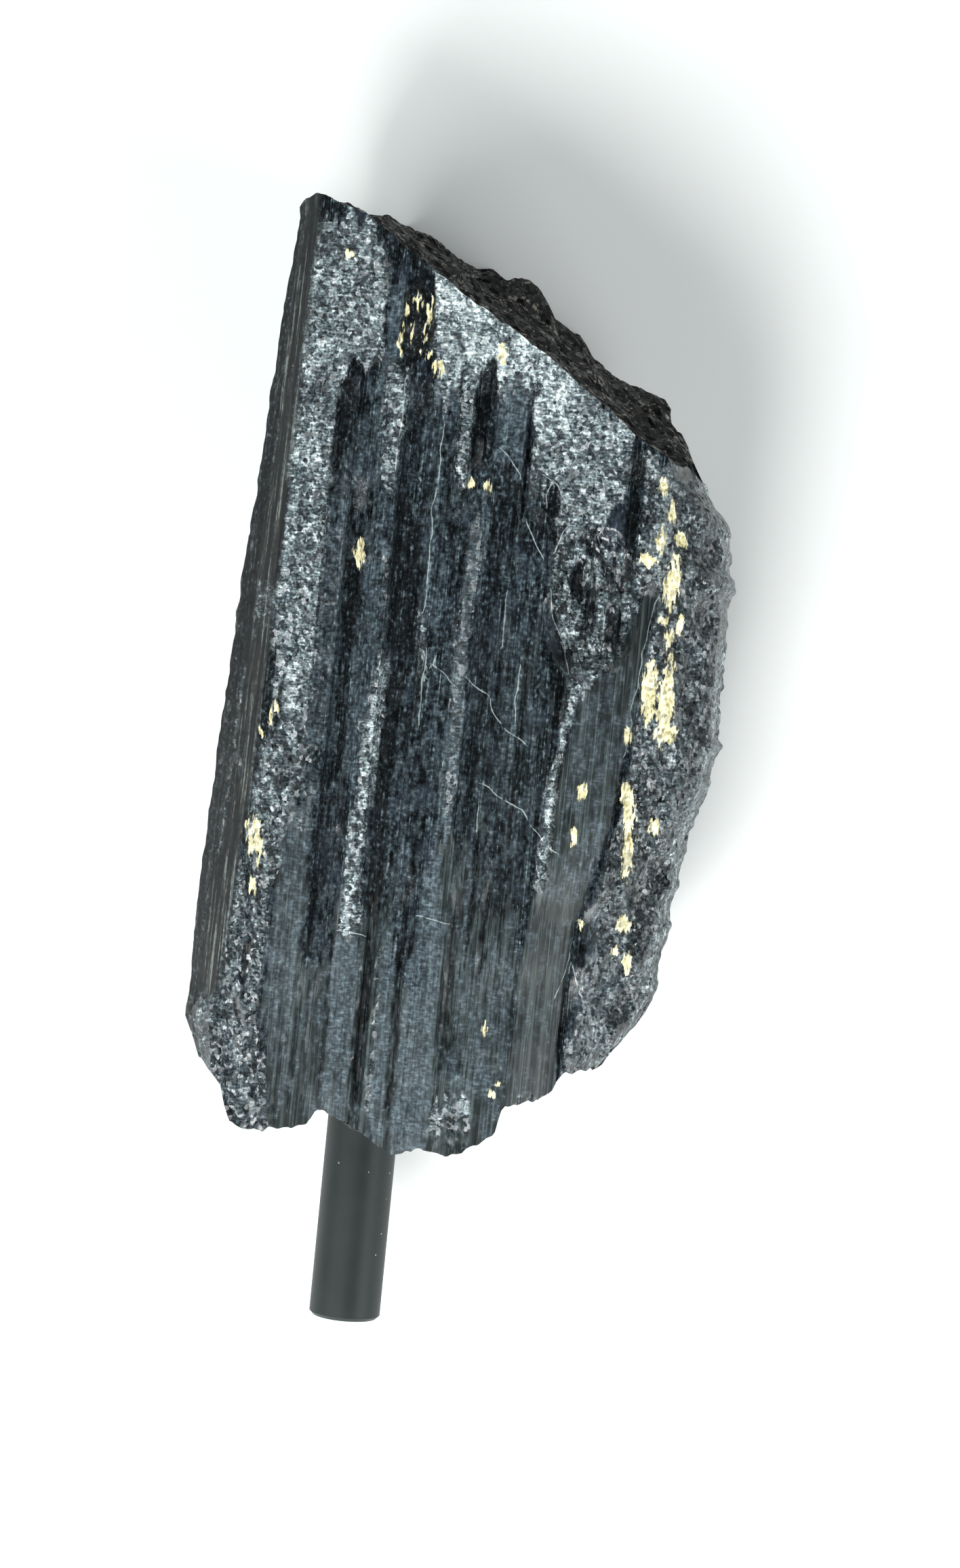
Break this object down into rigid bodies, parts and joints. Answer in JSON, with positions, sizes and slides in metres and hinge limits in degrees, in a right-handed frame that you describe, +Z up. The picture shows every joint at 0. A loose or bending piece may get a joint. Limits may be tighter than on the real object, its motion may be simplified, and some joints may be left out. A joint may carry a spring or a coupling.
{
  "type": "tourmaline crystal",
  "caption": "Black tourmaline crystal, a deeply grooved prism broken off at a slant, glued on a black display rod and lying on its flat back.",
  "frame": {"origin": "on the resting face's plane, under the middle of the whole object", "axes": "+Y along the crystal from the rod's free end to the tip, +Z up from the resting face to the broad front face"},
  "size_m": [0.056, 0.127, 0.0351],
  "materials": {
    "black_tourmaline": "natural black tourmaline, finely grooved along its length, glassy in the grooves and glittering where it is etched and broken, with cream mineral patches",
    "black_paint": "satin black paint on a steel rod"
  },
  "bodies": {
    "root": {"crystal": "black_tourmaline", "rod": "black_paint"}
  },
  "joints": []
}
